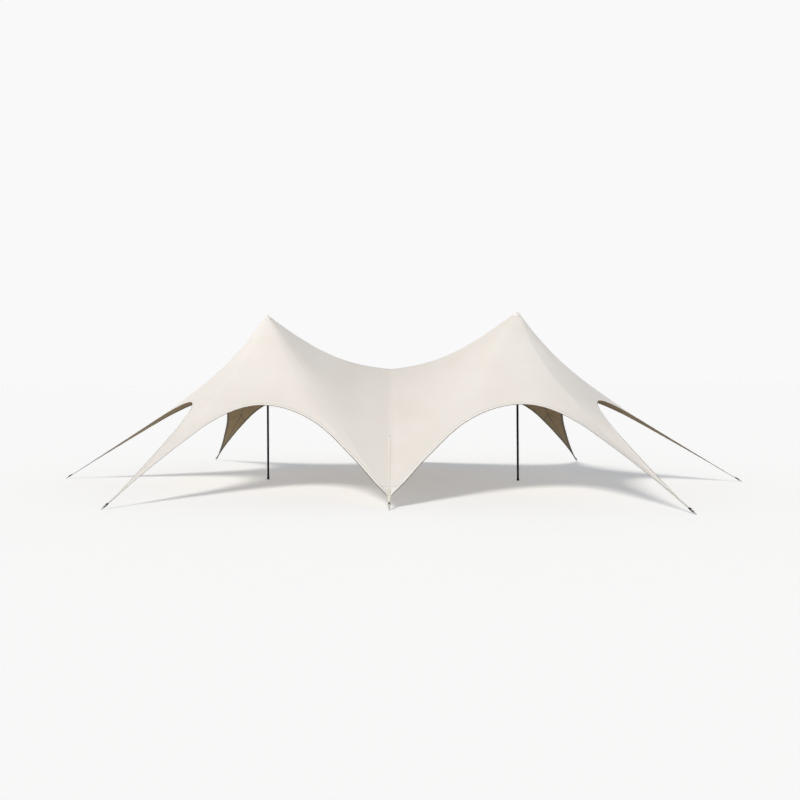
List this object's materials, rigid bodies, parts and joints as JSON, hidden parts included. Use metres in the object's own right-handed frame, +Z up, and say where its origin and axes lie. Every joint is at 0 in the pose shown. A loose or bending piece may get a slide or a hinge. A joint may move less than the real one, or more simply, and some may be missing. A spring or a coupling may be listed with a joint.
{
  "type": "stretch tent with two peaks and eight arms",
  "caption": "Star-shaped stretch tent: a cream canopy on two masts, with long tapering arms pulled down to ground anchors by straps and ratchets.",
  "frame": {"origin": "on the ground, midway between the two masts", "axes": "+X along the ridge from the left mast to the right one, +Y from the front of the tent to its rear, +Z up"},
  "size_m": [17.3302, 9.6504, 4.3],
  "materials": {
    "canopy_cloth": "coated cream cloth, brown lining underneath",
    "webbing": "flat woven polyester webbing",
    "mast_steel": "satin black powder coat",
    "mast_rubber": "matte black",
    "ratchet_steel": "satin black",
    "anchor_steel": "zinc plated"
  },
  "bodies": {
    "root": {"left_end_front_panel": "canopy_cloth", "left_end_rear_panel": "canopy_cloth", "right_end_front_panel": "canopy_cloth", "right_end_rear_panel": "canopy_cloth", "front_left_panel": "canopy_cloth", "front_right_panel": "canopy_cloth", "rear_left_panel": "canopy_cloth", "rear_right_panel": "canopy_cloth", "front_middle_panel": "canopy_cloth", "rear_middle_panel": "canopy_cloth", "left_peak_cap": "canopy_cloth", "right_peak_cap": "canopy_cloth", "left_mast_foot": "mast_rubber", "right_mast_foot": "mast_rubber", "left_mast_tube": "mast_steel", "right_mast_tube": "mast_steel", "left_mast_head": "mast_rubber", "right_mast_head": "mast_rubber", "left_end_strap": "webbing", "right_end_strap": "webbing", "front_left_strap": "webbing", "front_middle_strap": "webbing", "front_right_strap": "webbing", "rear_left_strap": "webbing", "rear_middle_strap": "webbing", "rear_right_strap": "webbing", "left_end_ratchet": "ratchet_steel", "right_end_ratchet": "ratchet_steel", "front_left_ratchet": "ratchet_steel", "front_middle_ratchet": "ratchet_steel", "front_right_ratchet": "ratchet_steel", "rear_left_ratchet": "ratchet_steel", "rear_middle_ratchet": "ratchet_steel", "rear_right_ratchet": "ratchet_steel", "left_end_anchor": "anchor_steel", "right_end_anchor": "anchor_steel", "front_left_anchor": "anchor_steel", "front_middle_anchor": "anchor_steel", "front_right_anchor": "anchor_steel", "rear_left_anchor": "anchor_steel", "rear_middle_anchor": "anchor_steel", "rear_right_anchor": "anchor_steel"}
  },
  "joints": []
}
